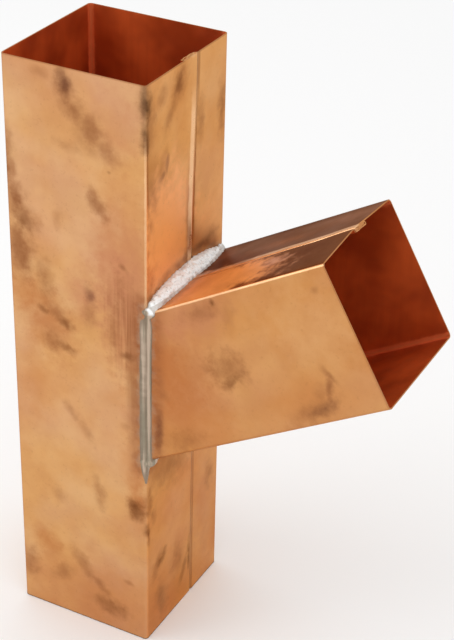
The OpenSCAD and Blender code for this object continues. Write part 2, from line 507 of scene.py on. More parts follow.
@dataclass(frozen=True)
class CopperFinish:
    """Handled copper sheet, with zones and marks that lie on its flat sides.

    The rosy, amber and dull tints are multiplied into the ground colour where noise lets them. The
    folds and the seams' creases carry painted highlight and shade. The sides' grounds and some
    zones and marks carry painted reflection and shade.
    """

    name: str
    ground: Color
    grain: Vector
    sides: tuple[Side, ...]
    rosy: Color = (0.92, 0.83, 0.98, 1.0)
    amber: Color = (0.95, 0.84, 0.66, 1.0)
    dull: Color = (0.84, 0.76, 0.72, 1.0)
    # Colour of the painted highlight along the folds, which also stands for rubbed edges.
    bright: Color = Tone.PALE_HIGHLIGHT.value
    fold_width: float = 0.5
    edge: Color = (0.62, 0.47, 0.42, 1.0)
    roughness: float = 0.36
    mark_depth_mm: float = 4.5
    zone_depth_mm: float = 60.0

    def make(self, shop: Workshop) -> bpy.types.Material:
        """Builds the material.

        Args:
            shop: Holder of the shared groups.

        Returns:
            The material.
        """
        material, net, shader = blank(self.name)
        point = net.place()
        noises = shop.place(net, shop.mottle, Point=point, Grain_axis=self.grain)
        color, flush = self._grounds(shop, net, point, noises)
        worn: Socket | None = None
        pushed = net.warp(point, 95.0, 1.1 * MM)
        for tone in Tone:
            mask = self._marks(shop, net, pushed, noises, tone)
            if mask is not None:
                color = net.tint(mask, color, tone.value)
                worn = mask if worn is None else net.math("MAXIMUM", worn, mask)
        heat = shop.place(net, shop.joint_heat, Nearness=net.read("joint"), Noise=noises["Torn"], Patch=noises["Patch"])
        # Heat tint beside the solder; beside the wiped band on the branch's near side it also stands for painted shade.
        color = net.tint(net.share(heat["Scorch"], 0.6), color, rgb(146, 86, 54))
        color = net.tint(net.share(heat["Film"], 0.35), color, rgb(170, 150, 130))
        # Painted shade in the seam's crease.
        color = net.tint(net.share(net.read("crease"), 0.75), color, rgb(128, 70, 38))
        # Painted highlight along chosen folds, which also stands for rubbed edges, and painted shade along the other
        # folds.
        fold = shop.place(net, shop.fold_light_wear, Crown=net.read("fold"), Noise=noises["Torn"], Patch=noises["Cloud"],
                          Width=self.fold_width, Amount=net.read("gleam"))
        color = net.tint(fold["Bright"], color, self.bright)
        color = net.tint(net.share(fold["Shade"], 0.75), color, rgb(104, 80, 54))
        # Browner within a millimetre of the upper cut ends and darker at the lower ones.
        rim = net.math("MULTIPLY_ADD", noises["Torn"], 0.4, net.read("rim"))
        color = net.tint(net.share(net.ramp(rim, 0.35, 0.95), 0.5), color, rgb(158, 100, 62))
        color = net.tint(net.share(net.ramp(rim, -0.35, -0.95), 0.8), color, rgb(92, 62, 40))
        color = net.tint(net.share(noises["Speck"], 0.14), color, Tone.BROWN.value)
        net.feed(shader.inputs["Base Color"], color)
        net.feed(shader.inputs["Metallic"], net.math("SUBTRACT", 1.0, flush))
        shader.inputs["Specular Tint"].default_value = self.edge
        rough = net.math("MULTIPLY_ADD", noises["Cloud"], 0.08, self.roughness)
        if worn is not None:
            rough = net.math("MULTIPLY_ADD", worn, 0.10, rough)
        net.feed(shader.inputs["Roughness"], net.math("MULTIPLY_ADD", fold["Bright"], -0.12, rough, clamp=True))
        relief = shop.place(net, shop.relief, Point=point, Grain=noises["Grain"], Dents=1.0, Grain_depth=0.012)
        bump(net, shader, relief["Height"], 0.35, 0.6)
        return material

    def _grounds(self, shop: Workshop, net: Net, point: Socket,
                 noises: bpy.types.NodeOutputs) -> tuple[Socket, Socket]:
        """Colours each side with its ground and its zones.

        Args:
            shop: Holder of the shared groups.
            net: Net of the material.
            point: Point of the surface.
            noises: The mottle's outputs.

        Returns:
            The colour, and how far the zones take the copper's mirror away, so that their painted reflection shows.
        """
        color: Socket | Color = self.ground
        flush: Socket | None = None
        normal, pushed = net.place("Normal"), net.warp(point, 22.0, 5.0 * MM)
        seen = [net.ramp(net.vector("DOT_PRODUCT", normal, side.facing()), 0.70, 0.95) for side in self.sides]
        for side, mask in zip(self.sides, seen):
            color = net.tint(mask, color, side.ground)
        for name, tint, amount in (("Broad", self.rosy, 0.8), ("Drift", self.amber, 0.8), ("Cloud", self.dull, 0.4)):
            color = net.tint(net.share(noises[name], amount), color, tint, "MULTIPLY")
        for side, mask in zip(self.sides, seen):
            for zone in side.zones:
                found = self._mask(shop, net, pushed, noises, side, zone, self.zone_depth_mm)
                found = net.math("MULTIPLY", found, mask)
                color = net.tint(found, color, zone.tone.value)
                if zone.matt:
                    found = net.share(found, zone.matt)
                    flush = found if flush is None else net.math("MAXIMUM", flush, found)
        return color, flush

    def _marks(self, shop: Workshop, net: Net, point: Socket, noises: bpy.types.NodeOutputs, tone: Tone) -> Socket | None:
        """Joins the masks of all marks of one tone.

        Args:
            shop: Holder of the shared groups.
            net: Net of the material.
            point: Point of the surface.
            noises: The mottle's outputs.
            tone: The tone whose marks are wanted.

        Returns:
            The joined mask, or None where no mark has this tone.
        """
        joined: Socket | None = None
        for side in self.sides:
            for mark in (m for m in side.marks if m.tone is tone):
                mask = self._mask(shop, net, point, noises, side, mark, self.mark_depth_mm)
                joined = mask if joined is None else net.math("MAXIMUM", joined, mask)
        return joined

    def _mask(self, shop: Workshop, net: Net, point: Socket, noises: bpy.types.NodeOutputs, side: Side, mark: Mark,
              depth_mm: float) -> Socket:
        """Masks one mark.

        Args:
            shop: Holder of the shared groups.
            net: Net of the material.
            point: Point of the surface.
            noises: The mottle's outputs.
            side: The side that bears the mark.
            mark: The mark.
            depth_mm: How far off its side the mark fades out.

        Returns:
            The mask.
        """
        middle, along, over = side.spread(mark)
        return shop.place(
            net, shop.smudge, Point=point, Middle=middle, Along=along, Over=over,
            Through=side.facing() / (depth_mm * MM), Softness=mark.soft, Ragged=mark.ragged,
            Noise=noises["Torn"], Hollow=mark.hollow, Patch=noises[mark.wear.value], Broken=mark.broken,
            Strength=mark.strength,
        )["Mask"]


@dataclass(frozen=True)
class BoreFinish:
    """The pipes' inner surface, redder and smoother than the handled outside, with a painted highlight along its inner
    corners.
    """

    name: str
    base: Color
    deep: Color
    glint: Color
    grain: Vector
    roughness: float = 0.30
    metallic: float = 0.45

    def make(self, shop: Workshop) -> bpy.types.Material:
        """Builds the material.

        Args:
            shop: Holder of the shared groups.

        Returns:
            The material.
        """
        material, net, shader = blank(self.name)
        point = net.place()
        noises = shop.place(net, shop.mottle, Point=point, Grain_axis=self.grain)
        color = net.tint(noises["Drift"], self.base, self.deep)
        color = net.tint(net.share(noises["Brush"], 0.1), color, self.deep)
        # Painted highlight along the bore's inner corners.
        fold = shop.place(net, shop.fold_light_wear, Crown=net.read("nook"), Noise=noises["Torn"], Patch=noises["Cloud"],
                          Width=0.95, Amount=0.9)
        color = net.tint(fold["Bright"], color, self.glint)
        net.feed(shader.inputs["Base Color"], color)
        shader.inputs["Metallic"].default_value = self.metallic
        net.feed(shader.inputs["Roughness"], net.math("MULTIPLY_ADD", noises["Cloud"], 0.12, self.roughness))
        relief = shop.place(net, shop.relief, Point=point, Grain=noises["Grain"], Dents=1.0, Grain_depth=0.003)
        bump(net, shader, relief["Height"], 0.4, 0.8)
        return material


@dataclass(frozen=True)
class SolderFinish:
    """Soft solder: bright and frosted on top, wiped to a streaky beige grey down the sides. The beige of
    the wiped sides is painted reflection of the copper beside them, and their darker edges are partly
    painted shade.
    """

    name: str
    bright: Color
    shade: Color
    wiped: Color
    dark: Color
    rim: Color
    edge: Color
    metallic: float = 0.2

    def make(self, shop: Workshop) -> bpy.types.Material:
        """Builds the material.

        Args:
            shop: Holder of the shared groups.

        Returns:
            The material.
        """
        material, net, shader = blank(self.name)
        point = net.place()
        noises = shop.place(net, shop.mottle, Point=point, Grain_axis=Vector((0, 0, 1)))
        fine = net.cloud(point, 640.0, 3.0, 0.6)
        top = net.read("bright")
        streaks = net.ramp(net.cloud(net.drawn(point, Vector((0, 0, 1)), 0.95), 480.0, 3.0), 0.40, 0.60)
        # The beige of the wiped sides is painted reflection of the copper beside them.
        wiped = net.tint(streaks, self.dark, self.wiped)
        frosted = net.tint(net.ramp(fine, 0.30, 0.50), self.shade, self.bright)
        # Greyer and darker where the solder thins at its edges, which also stands for painted shade along them.
        thin = net.ramp(net.math("MULTIPLY_ADD", noises["Torn"], 0.5, net.read("thin")), 0.25, 1.0)
        frosted = net.tint(net.share(thin, 0.6), frosted, self.rim)
        wiped = net.tint(net.share(thin, 0.7), wiped, self.edge)
        net.feed(shader.inputs["Base Color"], net.tint(top, wiped, frosted))
        shader.inputs["Metallic"].default_value = self.metallic
        net.feed(shader.inputs["Roughness"], net.math("MULTIPLY_ADD", noises["Cloud"], 0.15, 0.36))
        bump(net, shader, fine, 0.25, 0.25)
        return material


@dataclass(frozen=True)
class Station:
    """A point of a folded sheet's section, on the middle of its thickness.

    The place is measured along the face from the seam line, and in from the face. Out points to
    the sheet's outer side. The crown is 1 at the middle of a fold, where the fold's painted highlight
    and shade, and its wear, are strongest.
    """

    place: Vector
    out: Vector
    crown: float = 0.0
    crease: bool = False
    travel: float = 0.0


@dataclass(frozen=True)
class LockSeam:
    """Sizes of the sheet, its corner folds and its lock seam."""

    sheet: float = 0.6 * MM
    corner_r: float = 1.4 * MM
    lap: float = 12.0 * MM
    gap: float = 0.1 * MM
    step_turn: float = 60.0
    step_r: float = 0.6 * MM
    fold_step: float = 12.0
    corner_step: float = 9.0
    crown_reach: float = 45.0
    ridge: tuple[float, float] = (4.0 * MM, 6.0 * MM)

    def section(self, width: float, centre: float) -> list[Station]:
        """Draws the section of a square pipe.

        Args:
            width: Outside width of the pipe.
            centre: Place of the face's middle, from the seam line.

        Returns:
            Its stations, from the edge of the hook round the pipe to the edge of the curl.
        """
        half = self.sheet / 2
        corner_out = self.corner_r + self.sheet
        curl_d = half + self.sheet + self.gap
        hook_d = curl_d + self.sheet + self.gap
        fold_r = self.sheet + self.gap
        hook_c = Vector((fold_r + half, curl_d))
        curl_c = Vector((self.lap - fold_r - half, hook_d))
        wrap_r = fold_r + self.sheet + self.gap
        step_mid_r = self.step_r + half
        turn = math.radians(self.step_turn)
        climb = (curl_d + wrap_r * math.cos(turn) - half - step_mid_r * (1 - math.cos(turn))) / math.sin(turn)
        step_x = hook_c.x - (wrap_r + step_mid_r) * math.sin(turn) - climb * math.cos(turn)
        step_c = Vector((step_x, half + step_mid_r))
        inset = width / 2 - corner_out
        line = [Station(Vector((curl_c.x - self.gap, hook_d)), Vector((0, 1)))]
        line += self._bend(hook_c, fold_r, 180, 360)
        for middle, start in (((centre + inset, corner_out), 0), ((centre + inset, width - corner_out), 90),
                              ((centre - inset, width - corner_out), 180), ((centre - inset, corner_out), 270)):
            line += self._bend(Vector(middle), corner_out - half, start, start + 90, crown=start + 45,
                               step=self.corner_step)
        line += self._bend(step_c, step_mid_r, 0, self.step_turn, crease=True)
        line += self._bend(hook_c, wrap_r, 180 + self.step_turn, 180, inward=True, crease=True)
        line += self._bend(curl_c, fold_r, 180, 0, inward=True)
        line.append(Station(Vector((hook_c.x + self.gap, curl_d)), Vector((0, 1))))
        return line

    def _bend(self, middle: Vector, radius: float, start: float, end: float, inward: bool = False,
              crown: float | None = None, crease: bool = False, step: float | None = None) -> list[Station]:
        """Draws one bend of the sheet.

        Args:
            middle: Centre of the bend.
            radius: Radius of the middle of the sheet.
            start: Turn at which it starts, in degrees, where 0 points out of the face.
            end: Turn at which it ends.
            inward: Whether the sheet's outer side faces the centre.
            crown: Turn at which this bend's painted highlight and shade, and its wear, are strongest, if it has them.
            crease: Whether this bend takes the painted shade of the seam's crease.
            step: Most degrees from one station to the next.

        Returns:
            The stations of the bend.
        """
        count = math.ceil(abs(end - start) / (step or self.fold_step))
        stations = []
        for index in range(count + 1):
            turn = start + (end - start) * index / count
            rubbed = 0.0 if crown is None else max(0.0, 1 - abs(turn - crown) / self.crown_reach)
            way = Vector((math.sin(math.radians(turn)), -math.cos(math.radians(turn))))
            stations.append(Station(middle + way * radius, -way if inward else way, rubbed, crease))
        return stations

@dataclass
class FoldedPipe:
    """One sheet folded into a square pipe and closed by a lock seam whose layers lie inside."""

    name: str
    node: str
    slot_name: str
    width: float
    seam: float
    seam_side: int
    crown: float
    length: float
    stock: LockSeam = field(default_factory=LockSeam)
    panel: float = 4.0 * MM
    crease_reach: float = 1.0 * MM
    nook_reach: float = 3.0 * MM
    rim_reach: float = 1.0 * MM
    sag: float = 0.22 * MM
    ragged: float = 0.7 * MM
    joint_reach: float = 30.0 * MM

    def stations(self) -> list[Station]:
        """Returns the section's stations, with the flats divided and the travel measured."""
        drawn = self.stock.section(self.width, -self.seam_side * self.seam)
        line = [drawn[0]]
        for start, end in zip(drawn, drawn[1:]):
            gap = (end.place - start.place).length
            for share in self._shares(gap):
                line.append(Station(start.place.lerp(end.place, share), start.out))
            line.append(end)
        travel = 0.0
        measured = []
        for index, station in enumerate(line):
            if index:
                travel += (station.place - line[index - 1].place).length
            crown = max(station.crown, self._ridge(station))
            measured.append(Station(station.place, station.out, crown, station.crease, travel))
        return measured

    def _ridge(self, station: Station) -> float:
        """Works out the painted highlight on the upper layer's ridge beside the seam's line, where handling also rubs
        it.

        Args:
            station: Station of the section.

        Returns:
            1 on the ridge, down to 0 off it.
        """
        full, none = self.stock.ridge
        if station.out.y > -0.1 or station.place.y > 1 * MM or station.place.x < -0.05 * MM:
            return 0.0
        return min(1.0, max(0.0, (none - station.place.x) / (none - full)))

    def _shares(self, gap: float) -> list[float]:
        """Divides a flat, with the points closer together at its ends.

        Args:
            gap: Length of the flat.

        Returns:
            Where it is divided, as shares of its length.
        """
        if gap < self.panel:
            return []
        near = [0.5 * MM, 1.2 * MM, 2.4 * MM]
        inner = gap - 2 * near[-1]
        count = max(1, math.ceil(inner / self.panel))
        marks = near + [near[-1] + inner * i / count for i in range(1, count)] + [gap - d for d in reversed(near)]
        return [m / gap for m in marks if 0 < m < gap]

    def rows(self) -> list[float]:
        """Returns the shares of the length at which the section is repeated."""
        near = [0.0, 0.5 * MM, 1.5 * MM, 3.0 * MM]
        count = math.ceil((self.length - 2 * near[-1]) / self.panel)
        inner = [near[-1] + (self.length - 2 * near[-1]) * i / count for i in range(1, count)]
        return [d / self.length for d in near + inner + [self.length - d for d in reversed(near)]]

    def lay(self, place: Vector, share: float) -> tuple[float, float]:
        """Turns a point of the section into its distances from the pipe's axis.

        Args:
            place: Point of the section, from the seam line and in from the face.
            share: Share of the length at which it lies.

        Returns:
            The distance towards the seam's face, and the distance along Y.
        """
        edge = self.width / 2 - self.seam_side * self.seam * math.copysign(1.0, place.x)
        close = max(0.0, 1 - abs(place.x) / edge) if place.y < self.width / 2 else 0.0
        beside = self.seam + self.seam_side * place.x + self.wander(share) * close
        return self.width / 2 - place.y + self.crown * close, beside

    def wander(self, share: float) -> float:
        """Returns how far along Y the seam line strays at a share of the length."""
        return 0.0

    def carry(self, ahead: float, beside: float, share: float, trim: float) -> Vector:
        """Places a point of the section in the part's frame; each kind of pipe has its own way."""
        raise NotImplementedError

    def open_cell(self, low: Vector, high: Vector) -> bool:
        """Says whether the sheet is cut away between two points of it."""
        return False

    def nearness(self, point: Vector) -> float:
        """Returns 1 at the solder's edge and 0 out of reach of its heat."""
        raise NotImplementedError

    def gleam(self, station: Station, share: float) -> float:
        """Returns the folds' painted highlight, above 0, and their painted shade, below 0, at a station and a share of
        the length.
        """
        raise NotImplementedError

    def crease_shade(self, share: float) -> float:
        """Returns how dark the painted shade in the seam's crease is at a share of the length."""
        return 0.5

    def rim_tone(self, share: float) -> float:
        """Returns 1 at a cut end that is tinted browner, and -1 at one that is tinted darker."""
        return 1.0

    def dish(self, station: Station, share: float) -> float:
        """Works out how far the sheet dips in, away from its folds and ends.

        Args:
            station: Station of the section.
            share: Share of the length.

        Returns:
            The dip.
        """
        middle = -self.seam_side * self.seam
        free = self.width / 2 - self.stock.corner_r - self.stock.sheet
        off = abs(station.place.x - middle) if station.place.y < 3 * MM or station.place.y > self.width - 3 * MM \
            else abs(station.place.y - self.width / 2)
        clear = ease((free - off) / (12 * MM)) * ease(share * 6) * ease((1 - share) * 6)
        wave = noise.noise(Vector((station.travel * 22, share * self.length * 16, 3.1)))
        return self.sag * clear * (0.5 + 0.5 * wave)

    def build(self) -> bpy.types.Object:
        """Makes the pipe's closed mesh with the numbers that its finish reads.

        Returns:
            The new object.
        """
        stations, shares = self.stations(), self.rows()
        half = self.stock.sheet / 2
        mesh = bmesh.new()
        marks = {n: mesh.verts.layers.float.new(n) for n in ("fold", "gleam", "crease", "nook", "joint", "rim")}
        creases = [s.travel for s in stations if s.crease]
        nooks = [s.travel for s in stations if s.crown > 0.9 and s.place.y > 0.5 * MM]
        skins: dict[int, list[list[bmesh.types.BMVert]]] = {1: [], -1: []}
        for side, grid in skins.items():
            for share in shares:
                row = []
                end = min(share, 1 - share) * self.length
                for station in stations:
                    spot = station.place - station.out * self.dish(station, share)
                    ahead, beside = self.lay(spot + station.out * (side * half), share)
                    vert = mesh.verts.new(self.carry(ahead, beside, share, self.trim(station)))
                    near = min(abs(station.travel - t) for t in creases)
                    fresh = 0.4 * self._in_seam(station) * max(0.0, 1 - end / self.rim_reach)
                    # fold and gleam carry the folds' painted highlight and shade, crease the painted shade in the
                    # seam's crease, and nook the bore's painted highlight in its corners.
                    vert[marks["fold"]] = max(station.crown, fresh)
                    vert[marks["gleam"]] = max(self.gleam(station, share), fresh)
                    vert[marks["crease"]] = max(0.0, 1 - near / self.crease_reach) * self.crease_shade(share)
                    vert[marks["nook"]] = max(0.0, 1 - min(abs(station.travel - t) for t in nooks) / self.nook_reach)
                    vert[marks["joint"]] = self.nearness(vert.co)
                    vert[marks["rim"]] = (max(0.0, 1 - end / self.rim_reach) - fresh) * self.rim_tone(share)
                    row.append(vert)
                grid.append(row)
        self._skin(mesh, skins, stations)
        bmesh.ops.recalc_face_normals(mesh, faces=mesh.faces)
        data = bpy.data.meshes.new(self.name)
        mesh.to_mesh(data)
        mesh.free()
        data.shade_smooth()
        data.set_sharp_from_angle(angle=math.radians(35))
        made = bpy.data.objects.new(self.name, data)
        bpy.context.scene.collection.objects.link(made)
        return made

    def trim(self, station: Station) -> float:
        """Works out how far the sheet's upper end stops short, where the seam is ragged.

        Args:
            station: Station of the section.

        Returns:
            The length that is missing.
        """
        if not self._in_seam(station):
            return 0.0
        wave = noise.noise(Vector((station.travel * 900, self.length * 10, 0.7)))
        return self.ragged * (0.45 + 0.55 * wave) * (1.0 if station.place.y > 0.8 * MM else 0.35)

    def _in_seam(self, station: Station) -> bool:
        """Says whether a station belongs to the folded layers of the seam."""
        x, y = station.place
        return y < 3 * MM and -1.5 * MM < x < self.stock.lap + 1 * MM

    def _skin(self, mesh: bmesh.types.BMesh, skins: dict, stations: Sequence[Station]) -> None:
        """Makes the faces of both sides of the sheet and of its cut edges.

        Args:
            mesh: The mesh to fill.
            skins: Rows of points of the outer side, under 1, and of the inner side, under -1.
            stations: The section's stations.
        """
        rows, columns = len(skins[1]) - 1, len(stations) - 1
        solid = [[not self.open_cell(skins[1][j][i].co, skins[1][j + 1][i + 1].co) for i in range(columns)]
                 for j in range(rows)]

        def present(j: int, i: int) -> bool:
            """Says whether a cell of the sheet is there."""
            return 0 <= j < rows and 0 <= i < columns and solid[j][i]

        for j in range(rows):
            for i in range(columns):
                if not solid[j][i]:
                    continue
                deep = max(stations[i].place.y, stations[i + 1].place.y) > 1.5 * MM and \
                    0 < stations[i].place.x < self.stock.lap and stations[i].place.y < 3 * MM
                for side, grid in skins.items():
                    quad = (grid[j][i], grid[j][i + 1], grid[j + 1][i + 1], grid[j + 1][i])
                    face = mesh.faces.new(quad if side > 0 else quad[::-1])
                    face.material_index = 0 if side > 0 and not deep else 1
                outer, inner = skins[1], skins[-1]
                for there, a, b in (((j - 1, i), (j, i), (j, i + 1)), ((j + 1, i), (j + 1, i), (j + 1, i + 1)),
                                    ((j, i - 1), (j, i), (j + 1, i)), ((j, i + 1), (j, i + 1), (j + 1, i + 1))):
                    if not present(*there):
                        mesh.faces.new((outer[a[0]][a[1]], outer[b[0]][b[1]], inner[b[0]][b[1]], inner[a[0]][a[1]]))
        bmesh.ops.delete(mesh, geom=[v for v in mesh.verts if not v.link_faces], context="VERTS")

    def outline(self, inset: float) -> list[tuple[float, float]]:
        """Draws the outside of the pipe's section at the joint, for the solder to lie on.

        Args:
            inset: How far inside the sheet's surface it runs.

        Returns:
            Its points, as distances towards the seam's face and along Y.
        """
        out = self.stock.corner_r + self.stock.sheet
        half = self.width / 2
        points = []
        for middle, start in (((-1, -1), 180), ((1, -1), 270), ((1, 1), 0), ((-1, 1), 90)):
            for step in range(7):
                turn = math.radians(start + 15 * step)
                x = middle[0] * (half - out) + math.cos(turn) * (out - inset)
                y = middle[1] * (half - out) + math.sin(turn) * (out - inset)
                points.append((x, y))
            if middle == (1, -1):
                points.append((half - inset + self.crown, self.seam + self.wander(0.25)))
        return points

    def dress(self, made: bpy.types.Object, outside: bpy.types.Material, inside: bpy.types.Material) -> None:
        """Gives the pipe its finishes and its place in the frame.

        Args:
            made: The pipe's object.
            outside: Material of the handled outside.
            inside: Material of the bore.
        """
        made.data.materials.append(outside)
        made.data.materials.append(inside)
        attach(made, "root")
        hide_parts(self.node)
        LOG.info("%s: %d faces", made.name, len(made.data.polygons))


@dataclass
class UprightPipe(FoldedPipe):
    """The straight pipe that stands upright, with the way through cut in its face."""

    foot_z: float = 0.156
    hole: float = 70.3 * MM
    rise: float = math.radians(30)
    band_cover: float = 4.2 * MM
    stray: float = -3.0 * MM

    def wander(self, share: float) -> float:
        """Returns how far along Y the seam line strays, which is most just above the branch."""
        height = share * self.length
        return self.stray * ease((0.312 - height) / 0.095) * ease((height - 0.09) / 0.10)

    def carry(self, ahead: float, beside: float, share: float, trim: float) -> Vector:
        """Places a point of the section upright.

        Args:
            ahead: Distance towards the seam's face.
            beside: Distance along Y.
            share: Share of the length.
            trim: How far the upper end stops short there.

        Returns:
            The point in the part's frame.
        """
        height = share * self.length
        short = trim * ease(1 - (self.length - height) / (4 * MM))
        return Vector((ahead, beside, height - short))

    def open_cell(self, low: Vector, high: Vector) -> bool:
        """Says whether the way through takes a cell away.

        Args:
            low: One corner of the cell.
            high: The opposite corner.

        Returns:
            Whether it is cut away.
        """
        middle = (low + high) / 2
        tall = self.hole / 2 / math.cos(self.rise)
        deep = self.width / 2 - 4 * MM
        return middle.x > deep and abs(middle.y) < self.hole / 2 and abs(middle.z - self.foot_z) < tall

    def nearness(self, point: Vector) -> float:
        """Measures how close a point is to the solder.

        Args:
            point: Point of the sheet.

        Returns:
            1 at the solder's edge, down to 0 out of reach of its heat.
        """
        tall = (self.width / 2) / math.cos(self.rise)
        above = point.z - self.foot_z
        swell = max(0.0, math.cos(math.pi * point.y / self.width))
        cover = (3.5 + 4.5 * swell) * MM if above > 0 else 2.6 * MM
        past = max(0.0, abs(above) - tall - cover)
        beside = max(0.0, self.width / 2 - point.x - self.band_cover)
        return max(0.0, 1 - math.hypot(past, beside) / self.joint_reach)

    def gleam(self, station: Station, share: float) -> float:
        """Gives the painted highlight on the seam above the branch and on the near corner above the solder, and painted
        shade on the other folds.

        Args:
            station: Station of the section.
            share: Share of the length.

        Returns:
            The painted highlight from 0 to 1, and -1 for painted shade.
        """
        height = share * self.length
        if station.place.y < 1 * MM and abs(station.place.x) < 6 * MM:
            return 0.85 * ease((height - 0.19) / 0.02) * ease((0.301 - height) / 0.02)
        if station.place.y < 5 * MM and station.place.x > 0:
            return 0.5 * ease((height - 0.19) / 0.02) * ease((0.290 - height) / 0.02)
        return -1.0

    def crease_shade(self, share: float) -> float:
        """Returns how dark the painted shade in the seam's crease is, which is most near the upper end."""
        height = share * self.length
        return 0.15 + 0.55 * ease((height - 0.285) / 0.015) + 0.45 * ease((0.12 - height) / 0.03)

    def rim_tone(self, share: float) -> float:
        """Returns 1 at the upper end, which is tinted browner, and -1 at the lower one, which is tinted darker."""
        return 1.0 if share > 0.5 else -1.0


@dataclass
class BranchPipe(FoldedPipe):
    """The pipe that rises from the upright one, its foot cut level with that pipe's face."""

    foot: Vector = field(default_factory=Vector)
    axis: Vector = field(default_factory=Vector)
    stray: float = -4.5 * MM

    def wander(self, share: float) -> float:
        """Returns how far along Y the seam line strays: it leans to one side towards the foot."""
        return self.stray * ease((0.80 - share) / 0.8) + 2.5 * MM * ease((share - 0.75) / 0.25)

    def carry(self, ahead: float, beside: float, share: float, trim: float) -> Vector:
        """Places a point of the section along the branch.

        Args:
            ahead: Distance towards the upper face.
            beside: Distance along Y.
            share: Share of the length from the foot's cut to the mouth.
            trim: How far the mouth's edge stops short there.

        Returns:
            The point in the part's frame.
        """
        upper = Vector((-self.axis.z, 0, self.axis.x))
        start = ahead * self.axis.z / self.axis.x
        along = start + (self.length - start) * share
        short = trim * ease(1 - (self.length - along) / (4 * MM))
        return self.foot + self.axis * (along - short) + upper * ahead + Vector((0, beside, 0))

    def nearness(self, point: Vector) -> float:
        """Measures how close a point is to the solder.

        Args:
            point: Point of the sheet.

        Returns:
            1 at the solder's edge, down to 0 out of reach of its heat.
        """
        away = point - self.foot
        ahead = away.z * self.axis.x - away.x * self.axis.z
        swell = max(0.0, math.cos(math.pi * point.y / self.width))
        cover = (4.0 + 5.0 * swell) * MM if ahead > self.width / 2 - 3 * MM else 3.7 * MM
        return max(0.0, 1 - max(0.0, away.x - cover) / self.joint_reach)

    def gleam(self, station: Station, share: float) -> float:
        """Gives the painted highlight on the near upper corner and the seam, most at the mouth, and painted shade on
        the other folds.

        Args:
            station: Station of the section.
            share: Share of the length.

        Returns:
            The painted highlight from 0 to 1, and -0.8 for painted shade.
        """
        if station.place.y < 1 * MM and abs(station.place.x) < 6 * MM:
            return 0.25 + 0.75 * ease((share - 0.15) / 0.5)
        if station.place.y < 5 * MM and station.place.x < 0:
            return 0.75
        return -0.8

    def crease_shade(self, share: float) -> float:
        """Returns how dark the painted shade in the seam's crease is along the branch."""
        return 0.75


